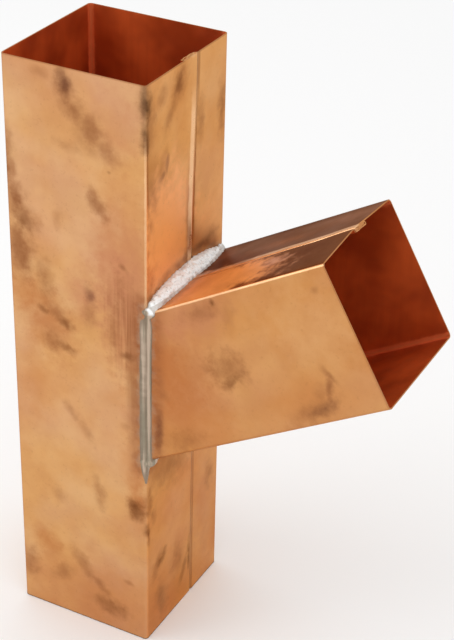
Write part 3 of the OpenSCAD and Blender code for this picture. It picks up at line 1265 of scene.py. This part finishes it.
@dataclass
class SolderBead:
    """The bead of solder round the branch's foot: rippled on top, wiped bands down the corners."""

    name: str
    node: str
    slot_name: str
    face_x: float
    pipe_w: float
    branch_w: float
    foot_z: float
    rise: float
    crown: float
    bead_r: float = 7.3
    near_r: float = 5.2
    far_r: float = 3.1
    reach: float = 2.4
    drop: float = 1.2
    side_r: float = 5.0
    side_proud: float = 0.8
    side_in: float = 1.5
    under_r: float = 3.2
    run_r: float = 2.8
    run_end_r: float = 1.0
    run_in: float = 1.5
    runs: tuple[float, float] = (17.0, 9.0)
    lumps: tuple[tuple[float, float, float], ...] = ((-28.5, 4.6, 1.5), (-24.5, 5.2, 1.2), (-4.5, 6.3, 1.5), (1.8, 6.9, 1.6))
    edge_mm: float = 1.1
    voxel: float = 0.45
    seed: int = 7

    def balls(self) -> Iterator[tuple[Vector, float]]:
        """Yields the middle and radius of each ball of the bead, in millimetres."""
        draw = random.Random(self.seed)
        half = self.branch_w / 2 - 1.0
        tall = self.branch_w / 2 / math.cos(self.rise)
        top, bottom = self.foot_z + tall, self.foot_z - tall
        count = 76
        for i in range(count + 1):
            t = i / count
            swell = math.sin(math.pi * t) ** (0.45 + 0.4 * t)
            ends = self.near_r + (self.far_r - self.near_r) * t
            radius = ends + (self.bead_r - ends) * swell + draw.uniform(-0.25, 0.05)
            lift = self.crown / math.cos(self.rise) * swell
            away = self.reach * (0.1 + 0.9 * swell)
            spot = Vector((self.face_x + away, (2 * t - 1) * (self.pipe_w / 2 + 0.1 - 0.92 * radius), top + lift))
            yield spot + Vector((0, 0, away * math.tan(self.rise) - self.drop * t)), radius
        for y, up, radius in self.lumps:
            yield Vector((self.face_x + 0.2, y, top + up)), radius
        for i in range(41):
            yield Vector((self.face_x, (i / 20 - 1) * half, bottom)), self.under_r + draw.uniform(-0.3, 0)
        for sign, run in zip((-1, 1), self.runs):
            wide = self.pipe_w / 2 - self.side_r + self.side_proud
            steps = math.ceil((top - bottom) / 1.2)
            for i in range(steps + 1):
                z = bottom + (top - bottom) * i / steps
                radius = self.side_r - 0.6 * ease((z - top + 7) / 6) - draw.uniform(0, 0.12)
                yield Vector((self.face_x - self.side_in, sign * wide, z)), radius
            steps = math.ceil(run / 0.8)
            for i in range(steps + 1):
                t = i / steps
                radius = self.run_r + (self.run_end_r - self.run_r) * t
                yield Vector((self.face_x - self.run_in, sign * (self.pipe_w / 2 - self.run_in), bottom - run * t)), radius

    def build(self, cutters: Sequence[bpy.types.Object]) -> bpy.types.Object:
        """Makes the bead's closed mesh.

        Args:
            cutters: Closed shapes of the two pipes, which are taken out of the bead.

        Returns:
            The new object.
        """
        mesh = bmesh.new()
        for middle, radius in self.balls():
            bmesh.ops.create_icosphere(mesh, subdivisions=3, radius=radius, matrix=Matrix.Translation(middle))
        data = bpy.data.meshes.new(self.name)
        mesh.to_mesh(data)
        mesh.free()
        made = bpy.data.objects.new(self.name, data)
        bpy.context.scene.collection.objects.link(made)
        skin = made.modifiers.new("skin", "REMESH")
        skin.mode = "VOXEL"
        skin.voxel_size = self.voxel
        smooth = made.modifiers.new("smooth", "SMOOTH")
        smooth.iterations = 4
        self._settle(made)
        self._ripple(made)
        for cutter in cutters:
            cut = made.modifiers.new("cut", "BOOLEAN")
            cut.operation = "DIFFERENCE"
            cut.solver = "EXACT"
            cut.object = cutter
        self._settle(made)
        for cutter in cutters:
            bpy.data.objects.remove(cutter)
        self._describe(made)
        made.data.transform(Matrix.Scale(MM, 4))
        made.data.shade_smooth()
        made.data.set_sharp_from_angle(angle=math.radians(50))
        return made

    def _settle(self, made: bpy.types.Object) -> None:
        """Applies the object's modifiers to its mesh."""
        ready = made.evaluated_get(bpy.context.evaluated_depsgraph_get())
        data = bpy.data.meshes.new_from_object(ready)
        made.modifiers.clear()
        old = made.data
        made.data = data
        data.name = made.name
        bpy.data.meshes.remove(old)

    def _ripple(self, made: bpy.types.Object) -> None:
        """Moves the surface in and out, in ripples across the top bead and streaks down the sides."""
        tall = self.branch_w / 2 / math.cos(self.rise)
        normals = [Vector(n.vector) for n in made.data.vertex_normals]
        for vert, normal in zip(made.data.vertices, normals):
            spot = vert.co.copy()
            upper = ease((spot.z - self.foot_z - tall + 5) / 4)
            ripple = 0.24 * math.sin(2 * math.pi * spot.y / 3.6 + 2.5 * noise.noise(spot * 0.25))
            lump = 0.55 * noise.noise(spot * 0.38) + 0.22 * noise.noise(spot * 0.9)
            streak = 0.22 * noise.noise(Vector((spot.x * 0.9, spot.y * 0.9, spot.z * 0.05)))
            vert.co = spot + normal * (upper * (ripple + lump) + (1 - upper) * streak - 0.1)

    def _describe(self, made: bpy.types.Object) -> None:
        """Stores how bright the bead is at each point, and how thin it is there."""
        tall = self.branch_w / 2 / math.cos(self.rise)
        bright = made.data.attributes.new("bright", "FLOAT", "POINT")
        thin = made.data.attributes.new("thin", "FLOAT", "POINT")
        for index, vert in enumerate(made.data.vertices):
            x, y, z = vert.co
            beyond = max(abs(x), abs(y)) - self.pipe_w / 2
            up = (z - self.foot_z) * math.cos(self.rise) - (x - self.face_x) * math.sin(self.rise)
            lift = self.crown if up > 0 else 0.0
            clear = max(abs(y), abs(up) - lift) - self.branch_w / 2 if x > self.face_x else beyond
            upper = ease((z - self.foot_z - tall + 1.0) / 2) * ease((x - self.face_x + 1.2) / 1.4)
            bright.data[index].value = upper * ease((self.pipe_w / 2 + 0.4 - abs(y)) / 0.4)
            thin.data[index].value = 1 - ease(max(0.0, min(beyond, clear)) / self.edge_mm)

    def dress(self, made: bpy.types.Object, finish: bpy.types.Material) -> None:
        """Gives the bead its finish and its place in the frame.

        Args:
            made: The bead's object.
            finish: Material of the solder.
        """
        made.data.materials.clear()
        made.data.materials.append(finish)
        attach(made, "root")
        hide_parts(self.node)
        LOG.info("%s: %d faces", made.name, len(made.data.polygons))


def solid_block(name: str, first: Sequence[Vector], last: Sequence[Vector]) -> bpy.types.Object:
    """Makes a closed block between two outlines, such as the space that a pipe fills.

    Args:
        name: Name of the object.
        first: Points of one end in order.
        last: As many points of the other end.

    Returns:
        The new object.
    """
    mesh = bmesh.new()
    rings = [[mesh.verts.new(c) for c in ring] for ring in (first, last)]
    for ring in rings:
        mesh.faces.new(ring)
    for i in range(len(first)):
        mesh.faces.new((rings[0][i - 1], rings[0][i], rings[1][i], rings[1][i - 1]))
    bmesh.ops.recalc_face_normals(mesh, faces=mesh.faces)
    data = bpy.data.meshes.new(name)
    mesh.to_mesh(data)
    mesh.free()
    made = bpy.data.objects.new(name, data)
    bpy.context.scene.collection.objects.link(made)
    return made


@dataclass
class Studio:
    """The camera at the photograph's angle, a pale floor and soft light."""

    azimuth: float = 27.16
    elevation: float = 30.68
    roll: float = 1.56
    distance: float = 0.8378
    across: float = 0.05404
    height: float = 0.16618
    lens: float = 94.07
    floor_size: float = 12.0

    def axes(self) -> tuple[Vector, Vector, Vector]:
        """Returns the camera's right, up and back directions."""
        az, el, roll = (math.radians(v) for v in (self.azimuth, self.elevation, self.roll))
        back = Vector((math.sin(az) * math.cos(el), -math.cos(az) * math.cos(el), math.sin(el)))
        level = Vector((math.cos(az), math.sin(az), 0))
        up = back.cross(level)
        right = level * math.cos(roll) + up * math.sin(roll)
        return right, up * math.cos(roll) - level * math.sin(roll), back

    def camera(self) -> None:
        """Makes the scene's camera."""
        right, up, back = self.axes()
        az = math.radians(self.azimuth)
        target = Vector((math.cos(az), math.sin(az), 0)) * self.across + Vector((0, 0, self.height))
        eye = target + back * self.distance
        data = bpy.data.cameras.new("camera")
        data.lens = self.lens
        data.sensor_width = 36.0
        data.clip_start = 0.05
        data.clip_end = 50.0
        made = bpy.data.objects.new("camera", data)
        made.matrix_world = Matrix((
            (right.x, up.x, back.x, eye.x), (right.y, up.y, back.y, eye.y), (right.z, up.z, back.z, eye.z), (0, 0, 0, 1)
        ))
        bpy.context.scene.collection.objects.link(made)
        bpy.context.scene.camera = made

    def floor(self) -> None:
        """Makes the pale floor that the piece stands on."""
        half = self.floor_size / 2
        data = bpy.data.meshes.new("floor")
        data.from_pydata([(-half, -half, 0), (half, -half, 0), (half, half, 0), (-half, half, 0)], [], [(0, 1, 2, 3)])
        made = bpy.data.objects.new("floor", data)
        made.location.z = -0.2 * MM
        material, _, shader = blank("floor")
        shader.inputs["Base Color"].default_value = (0.96, 0.96, 0.96, 1)
        shader.inputs["Roughness"].default_value = 0.9
        shader.inputs["Specular IOR Level"].default_value = 0.0
        data.materials.append(material)
        bpy.context.scene.collection.objects.link(made)

    def world(self, ambient: float = 0.95, shown: float = 1.0) -> None:
        """Makes the surroundings: white where they are seen, softer where they light.

        Args:
            ambient: Strength with which they light rough surfaces.
            shown: Strength with which they are seen, directly or in metal.
        """
        world = bpy.data.worlds.new("surroundings")
        world.use_nodes = True
        bpy.context.scene.world = world
        net = Net(world.node_tree)
        ground = world.node_tree.nodes["Background"]
        path = net.node("ShaderNodeLightPath").outputs
        seen = net.math("MAXIMUM", path["Is Camera Ray"], path["Is Glossy Ray"])
        seen = net.math("MAXIMUM", seen, path["Is Transmission Ray"])
        ground.inputs["Color"].default_value = (1, 1, 1, 1)
        net.feed(ground.inputs["Strength"], net.math("MULTIPLY_ADD", seen, shown - ambient, ambient))

    def lamp(self, name: str, spot: Vector, size: float, power: float) -> None:
        """Makes a soft square lamp that faces the piece.

        Args:
            name: Name of the lamp.
            spot: Where it stands.
            size: Length of its sides.
            power: Its power in watts.
        """
        data = bpy.data.lights.new(name, "AREA")
        data.size = size
        data.energy = power
        made = bpy.data.objects.new(name, data)
        made.location = spot
        made.rotation_euler = (spot - Vector((0.04, 0, 0.15))).to_track_quat("Z", "Y").to_euler()
        bpy.context.scene.collection.objects.link(made)

    def build(self) -> None:
        """Makes the whole studio."""
        self.camera()
        self.floor()
        self.world()
        self.lamp("key", Vector((-0.75, -0.55, 0.95)), 0.7, 2.4)
        self.lamp("fill", Vector((0.9, -0.8, 0.6)), 0.9, 1.0)
        view = bpy.context.scene.view_settings
        view.view_transform = "Standard"
        LOG.info("studio: camera, floor and two lamps")


def main() -> None:
    """Builds and dresses every piece, in order."""
    logging.basicConfig(level=logging.INFO, format="%(name)s: %(message)s")
    Studio().build()
    low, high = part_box("main_pipe")
    pipe_w, pipe_h = high.y - low.y, high.z - low.z
    branch_low, branch_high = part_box("branch_pipe")
    branch_w = branch_high.y - branch_low.y
    mounts = {m["name"]: m for m in frame["record"]["mounts"]}
    mouth = Vector(mounts["branch_mouth"]["pos_m"])
    axis = Vector(mounts["branch_mouth"]["axis"]).normalized()
    rise = math.atan2(axis.z, axis.x)
    branch_len = (mouth.x - high.x) / axis.x
    foot = mouth - axis * branch_len
    upper = Vector((-axis.z, 0, axis.x))
    shop = Workshop()

    # Each side's ground is its colour as it is seen: the branch top's dark ground is painted dark reflection, and the
    # smaller differences between the other sides are painted shading and sheen.
    front = Side(Vector((0, low.y, 0)), Vector((1, 0, 0)), Vector((0, 0, 1)), rgb(224, 176, 124), FRONT_ZONES, FRONT_MARKS)
    face = Side(Vector((high.x, 0, 0)), Vector((0, 1, 0)), Vector((0, 0, 1)), rgb(233, 176, 116), FACE_ZONES, FACE_MARKS)
    near = Side(foot + Vector((0, branch_low.y, 0)), axis, upper, rgb(212, 155, 99), NEAR_ZONES, NEAR_MARKS)
    top = Side(foot + upper * branch_w / 2, axis, Vector((0, 1, 0)), rgb(128, 86, 58), TOP_ZONES, TOP_MARKS)
    pipe_finish = CopperFinish("copper_pipe", rgb(226, 176, 124), Vector((0, 0, 1)), (front, face)).make(shop)
    branch_finish = CopperFinish("copper_branch", rgb(222, 168, 114), axis, (near, top)).make(shop)
    bore = BoreFinish("copper_bore", rgb(228, 104, 46), rgb(176, 70, 28), rgb(255, 140, 84), Vector((0, 0, 1))).make(shop)
    solder = SolderFinish("solder", rgb(252, 255, 255), rgb(212, 213, 210), rgb(190, 168, 146), rgb(142, 131, 110),
                          rgb(182, 170, 158), rgb(112, 92, 70)).make(shop)

    pipe = UprightPipe("upright_pipe", "main_pipe", "copper_pipe", pipe_w, 8.6 * MM, -1, 0.0, pipe_h,
                       foot_z=foot.z, rise=rise)
    pipe.dress(pipe.build(), pipe_finish, bore)
    branch = BranchPipe("rising_pipe", "branch_pipe", "copper_branch", branch_w, -4.0 * MM, 1, 1.9 * MM, branch_len,
                        ragged=1.1 * MM, foot=foot, axis=axis)
    branch.dress(branch.build(), branch_finish, bore)

    inset, past = 0.15 * MM, 5 * MM
    ends = [[Vector((a, y, z)) / MM for a, y in pipe.outline(inset)] for z in (-past, pipe_h + past)]
    upright = solid_block("upright_space", *ends)
    ends = [[(end + upper * a + Vector((0, y, 0))) / MM for a, y in branch.outline(inset)]
            for end in (foot - axis * 8 * past, mouth + axis * past)]
    rising = solid_block("rising_space", *ends)
    bead = SolderBead("solder_bead", "solder_joint", "solder", high.x / MM, pipe_w / MM, branch_w / MM,
                      foot.z / MM, rise, 1.9)
    bead.dress(bead.build([upright, rising]), solder)


FRONT_ZONES: tuple[Mark, ...] = (
    Mark(Tone.AMBER, 28, 222, 66, 15, 90, 0.7, Wear.EVEN),
    Mark(Tone.ROSE, 25, 204, 46, 18, 90, 0.9, Wear.EVEN),
    Mark(Tone.ROSE, 24, 292, 22, 16, 90, 0.5, Wear.EVEN),
    Mark(Tone.ROSE, 4, 198, 18, 14, 90, 0.75, Wear.EVEN),
    Mark(Tone.RUST, -16, 176, 24, 16, 120, 0.8, Wear.EVEN),
    Mark(Tone.RUST, -28, 192, 14, 14, 0, 0.55, Wear.EVEN),
    Mark(Tone.ROSE, 15, 132, 15, 13, 90, 0.3, Wear.EVEN),
    Mark(Tone.AMBER, -26, 140, 20, 11, 90, 0.55, Wear.EVEN),
    Mark(Tone.AMBER, 31, 108, 34, 9, 90, 0.5, Wear.EVEN),
    Mark(Tone.AMBER, 6, 22, 44, 24, 170, 0.5, Wear.EVEN),
)
FRONT_MARKS: tuple[Mark, ...] = (
    Mark(Tone.PLUM, -4.6, 305, 9, 4.6, 96, 0.65),
    Mark(Tone.BROWN, -3.2, 299, 12, 7, 112, 0.9),
    Mark(Tone.BROWN, 1.5, 292, 13, 7, 130, 0.85, broken=0.1),
    Mark(Tone.BROWN, 8.5, 285, 15, 7.5, 132, 0.8, broken=0.1),
    Mark(Tone.BROWN, 16.5, 277.5, 12, 6.5, 128, 0.55),
    Mark(Tone.BROWN, 6, 279, 12, 5, 135, 0.4),
    Mark(Tone.BROWN, -3, 275, 8, 3.6, 175, 0.4),
    Mark(Tone.BROWN, 12.4, 248.8, 8.6, 4.6, 122, 0.85, soft=0.85, broken=0.25),
    Mark(Tone.BROWN, -9.4, 236, 7, 3.4, 80, 0.35),
    Mark(Tone.BROWN, -36.5, 258, 24, 5, 92, 0.9),
    Mark(Tone.BROWN, -33, 240, 13, 7, 100, 0.95, broken=0.1),
    Mark(Tone.UMBER, -27.5, 231, 8, 5, 130, 0.55),
    Mark(Tone.BROWN, -27, 231, 10, 7.5, 130, 0.8),
    Mark(Tone.BROWN, -31.5, 215, 18, 9, 92, 0.95, broken=0.05),
    Mark(Tone.BROWN, -17, 307, 6, 3.4, 0, 0.35),
    Mark(Tone.BROWN, 35, 304, 14, 3.4, 90, 0.25),
    Mark(Tone.UMBER, 19.1, 266.4, 1.4, 0.9, 0, 0.4, Wear.EVEN),
    Mark(Tone.BROWN, -18, 202, 13, 5.5, 90, 0.65),
    Mark(Tone.UMBER, -19.2, 183.8, 4.4, 2.4, 145, 0.7),
    Mark(Tone.BROWN, -11, 183, 10, 5, 140, 0.6),
    Mark(Tone.UMBER, -7.3, 179.7, 5, 3.2, 160, 0.6),
    Mark(Tone.BROWN, -15, 167.5, 8, 6, 100, 0.65),
    Mark(Tone.UMBER, -7.7, 165.8, 6.5, 3.4, 165, 0.7),
    Mark(Tone.PLUM, 7.3, 200, 7, 3.6, 105, 0.6),
    Mark(Tone.BROWN, 7.2, 189, 10, 4.6, 90, 0.55),
    Mark(Tone.BROWN, 26.5, 186, 30, 12, 92, 0.85, Wear.BRUSHED, broken=0.85),
    Mark(Tone.UMBER, 28.3, 171.5, 5.5, 2.8, 10, 0.65),
    Mark(Tone.UMBER, 25.6, 219.4, 3.4, 2.0, 150, 0.55),
    Mark(Tone.BROWN, 31.5, 162, 46, 6, 90, 0.6, Wear.BRUSHED),
    Mark(Tone.BROWN, -5, 130.3, 7, 3.4, 140, 0.45),
    Mark(Tone.BROWN, 3.6, 121, 9, 3.2, 115, 0.4),
    Mark(Tone.BROWN, 27.4, 131.4, 5, 2.6, 0, 0.45),
    Mark(Tone.BROWN, 10.5, 85, 12, 4, 100, 0.6),
    Mark(Tone.BROWN, -13.8, 74.7, 6, 4.2, 110, 0.35),
    Mark(Tone.RUST, 33, 98, 16, 6, 90, 0.6),
    Mark(Tone.UMBER, 31.5, 82.5, 8, 5.6, 110, 0.9, broken=0.2),
    Mark(Tone.RUST, 34, 88, 12, 8, 90, 0.7),
    Mark(Tone.RUST, -22, 42, 13, 9, 120, 0.55),
    Mark(Tone.BROWN, -33, 25, 13, 6, 90, 0.65),
    Mark(Tone.BROWN, 0.5, 35, 14, 4.5, 128, 0.65),
    Mark(Tone.BROWN, -13, 25, 10, 4.5, 40, 0.5),
    Mark(Tone.BROWN, 10, 25, 10, 3.6, 135, 0.6),
    Mark(Tone.UMBER, 16, 13.5, 12, 6, 172, 0.65),
    Mark(Tone.BROWN, 27, 33, 3, 2, 0, 0.45),
)
FACE_ZONES: tuple[Mark, ...] = (
    Mark(Tone.TAN, 26, 288, 28, 15, 90, 0.45, Wear.EVEN),
    # The orange zones are painted reflection of the branch's top in this face, made less mirror-like so that it shows.
    Mark(Tone.REFLECTED_ORANGE, -18, 230, 36, 25, 96, 1.0, Wear.EVEN, soft=0.7, broken=0.1, matt=1.0),
    Mark(Tone.REFLECTED_ORANGE, 14, 214, 24, 20, 60, 0.6, Wear.EVEN, matt=0.6),
    # Painted shade below the branch.
    Mark(Tone.BROWN, -18, 99, 27, 15, 170, 0.7, Wear.EVEN),
    Mark(Tone.FROST, 24, 50, 60, 15, 90, 0.45, Wear.EVEN),
    Mark(Tone.RUST, -6, 24, 26, 30, 90, 0.2, Wear.EVEN),
)
FACE_MARKS: tuple[Mark, ...] = (
    Mark(Tone.SOOT, -37.5, 304, 11, 4.6, 90, 0.95, broken=0.15),
    Mark(Tone.SOOT, -37.2, 289, 12, 2.8, 90, 0.8, broken=0.3),
    Mark(Tone.BROWN, -33.5, 292, 16, 4.6, 82, 0.6),
    Mark(Tone.BROWN, -8, 303, 11, 7, 60, 0.85),
    Mark(Tone.UMBER, -9, 304, 6, 4, 60, 0.5),
    Mark(Tone.BROWN, -24, 302, 9, 4.5, 40, 0.45),
    Mark(Tone.BROWN, -15, 292, 14, 4.5, 60, 0.5),
    Mark(Tone.UMBER, -18.5, 267, 6, 2.2, 80, 0.65),
    Mark(Tone.BROWN, -22, 269, 8, 3.8, 70, 0.6, hollow=0.4),
    Mark(Tone.UMBER, -23, 262.5, 4.5, 2.2, 20, 0.55),
    Mark(Tone.BROWN, 1, 234, 30, 2.4, 90, 0.5, Wear.BRUSHED),
    Mark(Tone.BROWN, 12, 277, 14, 5, 90, 0.6),
    Mark(Tone.BROWN, 33, 276, 18, 5, 90, 0.75),
    Mark(Tone.BROWN, 24, 211, 10, 8, 0, 0.55),
    Mark(Tone.UMBER, 6, 211, 26, 3.0, 0, 0.6),
    Mark(Tone.UMBER, -21.5, 44, 6, 3.4, 50, 0.8),
    Mark(Tone.BROWN, -27, 42, 10, 5, 50, 0.65),
    Mark(Tone.BROWN, -6, 33, 12, 8, 90, 0.55),
    Mark(Tone.UMBER, 1, 20, 10, 3.2, 60, 0.55),
    Mark(Tone.UMBER, 6.5, 27, 14, 1.8, 90, 0.7),
    Mark(Tone.BROWN, -36, 86, 10, 4, 90, 0.75),
    Mark(Tone.UMBER, -36.5, 68, 9, 2.2, 90, 0.85),
    Mark(Tone.BROWN, -31, 77, 5, 3.6, 90, 0.6),
    Mark(Tone.BROWN, 27, 66, 10, 6, 90, 0.5),
    Mark(Tone.OLIVE, -23, 18, 14, 7, 110, 0.5),
)
NEAR_ZONES: tuple[Mark, ...] = (
    Mark(Tone.RUST, 12, 8, 44, 28, 100, 0.8, Wear.EVEN),
    Mark(Tone.ROSE, 40, 28, 26, 14, 0, 0.65, Wear.EVEN),
    Mark(Tone.AMBER, 20, -30, 26, 16, 0, 0.6, Wear.EVEN),
    Mark(Tone.TAN, 104, 8, 26, 26, 0, 0.45, Wear.EVEN),
    Mark(Tone.AMBER, 84, -28, 34, 14, 0, 0.65, Wear.EVEN),
)
NEAR_MARKS: tuple[Mark, ...] = (
    Mark(Tone.BROWN, 49, 0, 12, 10.5, 0, 0.95, hollow=0.3, ragged=1.5),
    Mark(Tone.UMBER, 49, -6, 8, 3.0, 20, 0.5, ragged=1.5),
    Mark(Tone.BROWN, 56, 4, 4.5, 3, 120, 0.65),
    Mark(Tone.BROWN, 38, 3, 4, 3, 90, 0.5),
    Mark(Tone.BROWN, 44, -9, 5, 2.4, 160, 0.5),
    Mark(Tone.UMBER, 58.3, 32.6, 2.6, 1.8, 90, 0.75),
    Mark(Tone.BROWN, 50, 30, 13, 5.5, 0, 0.6),
    Mark(Tone.BROWN, 63, 25, 10, 4, 60, 0.3),
    Mark(Tone.PLUM, 90, -29.5, 9, 3.8, 15, 0.7),
    Mark(Tone.BROWN, 84, -30, 16, 6.5, 12, 0.65),
    Mark(Tone.BROWN, 97, -20, 9, 2.6, 60, 0.85),
    Mark(Tone.BROWN, 100.5, -14, 7, 2.4, 110, 0.75),
    Mark(Tone.BROWN, 92, -22, 7, 5, 50, 0.45),
    Mark(Tone.BROWN, 8, -5, 4, 3.4, 0, 0.35),
    Mark(Tone.BROWN, 6, -30, 16, 7, 0, 0.5),
    # Painted shade beside the solder's wiped band.
    Mark(Tone.PLUM, -6, -22, 15, 3.0, 60, 0.8, broken=0.2),
    Mark(Tone.BROWN, 112, 26, 2.2, 1.8, 0, 0.4),
)
TOP_ZONES: tuple[Mark, ...] = (
    # The honey zone is painted reflection of the upright pipe's face in the branch's top by the joint.
    Mark(Tone.REFLECTED_HONEY, 42, -22, 46, 17, 2, 1.0, Wear.EVEN, soft=0.45, broken=0.2, matt=0.75),
    Mark(Tone.FROST, 110, 24, 30, 12, 0, 0.3),
    Mark(Tone.RUST, 72, 12, 24, 8, 0, 0.4),
    Mark(Tone.PLUM, 106, -20, 22, 18, 0, 0.4),
)
TOP_MARKS: tuple[Mark, ...] = (
    Mark(Tone.FROST, 84, -15.5, 8, 5.5, 0, 0.85, soft=0.6, broken=0.3),
    Mark(Tone.FROST, 33, 20, 9, 9, 0, 0.5),
    Mark(Tone.SOOT, 60, 33, 60, 4, 0, 0.6),
    Mark(Tone.PLUM, 101, -12, 14, 5, 10, 0.6),
    Mark(Tone.OLIVE, 86, 20, 14, 6, 0, 0.5),
)

if __name__ == "__main__":
    main()
